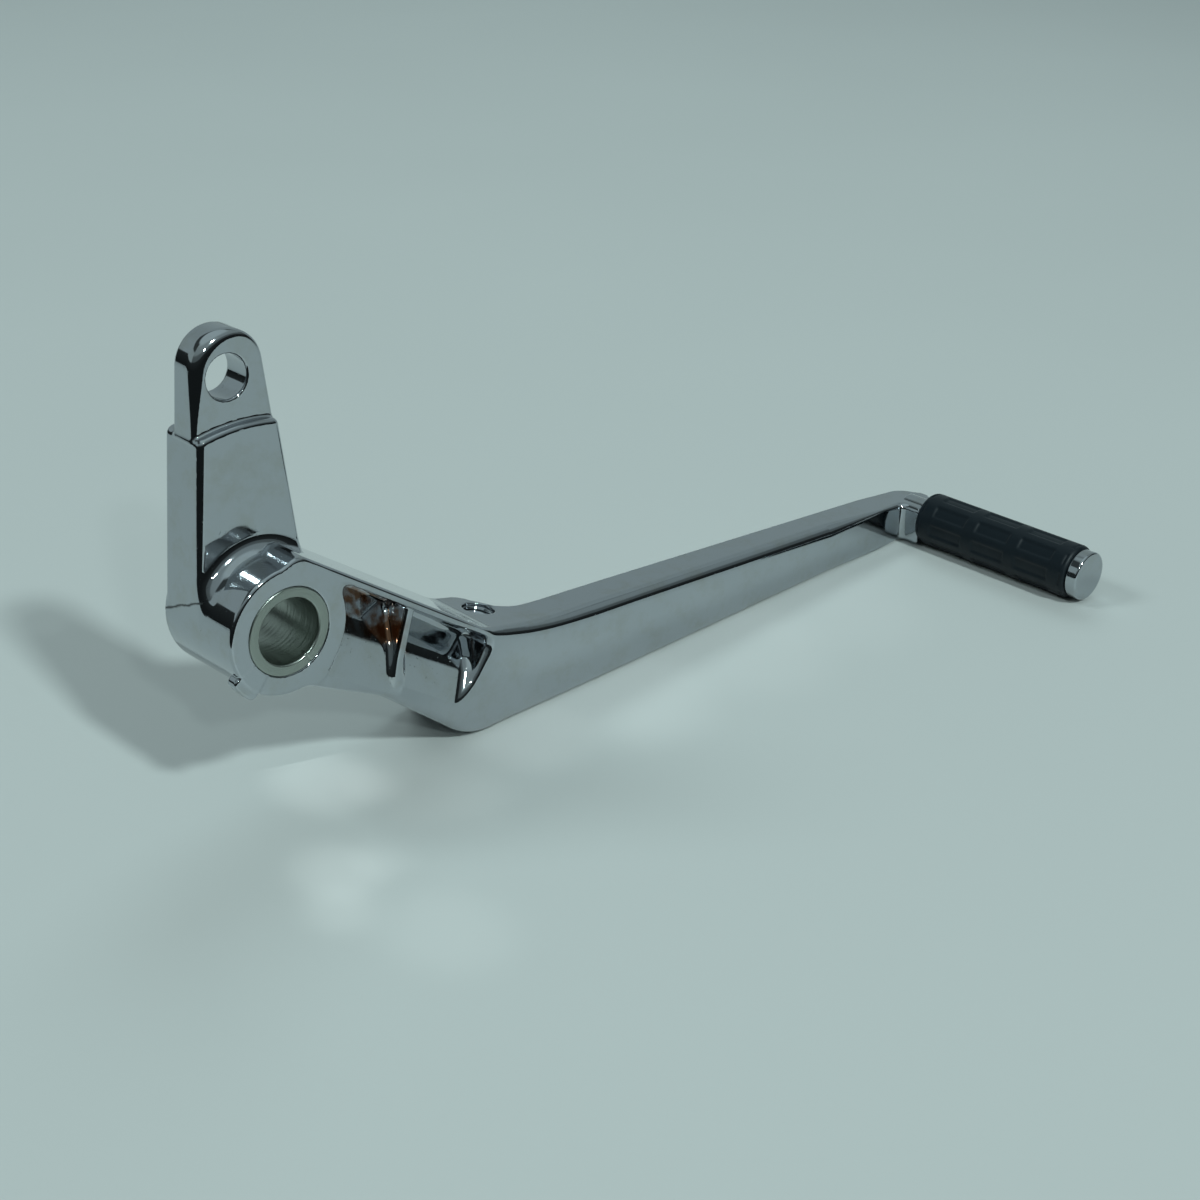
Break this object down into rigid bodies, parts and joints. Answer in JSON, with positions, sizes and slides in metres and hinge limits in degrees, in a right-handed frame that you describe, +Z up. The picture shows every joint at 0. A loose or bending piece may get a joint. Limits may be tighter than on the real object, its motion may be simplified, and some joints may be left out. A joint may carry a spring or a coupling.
{
  "type": "rear brake pedal",
  "caption": "Plated motorcycle rear brake pedal: bushed pivot hub, upright rod tang, scooped arm dropping to a long tapered arm and a rubber-covered toe peg.",
  "frame": {"origin": "centre of the hub's outboard face, on the pivot axis", "axes": "+X forward along the arm to the toe peg, +Y inboard along the pivot towards the machine, +Z up; the toe peg points to -Y"},
  "size_m": [0.3017, 0.1062, 0.1386],
  "materials": {
    "chrome_plating": "polished",
    "bush_metal": "satin",
    "peg_rubber": "matte"
  },
  "bodies": {
    "root": {"lever": "chrome_plating", "pivot_bush": "bush_metal", "peg_rubber": "peg_rubber"}
  },
  "joints": []
}
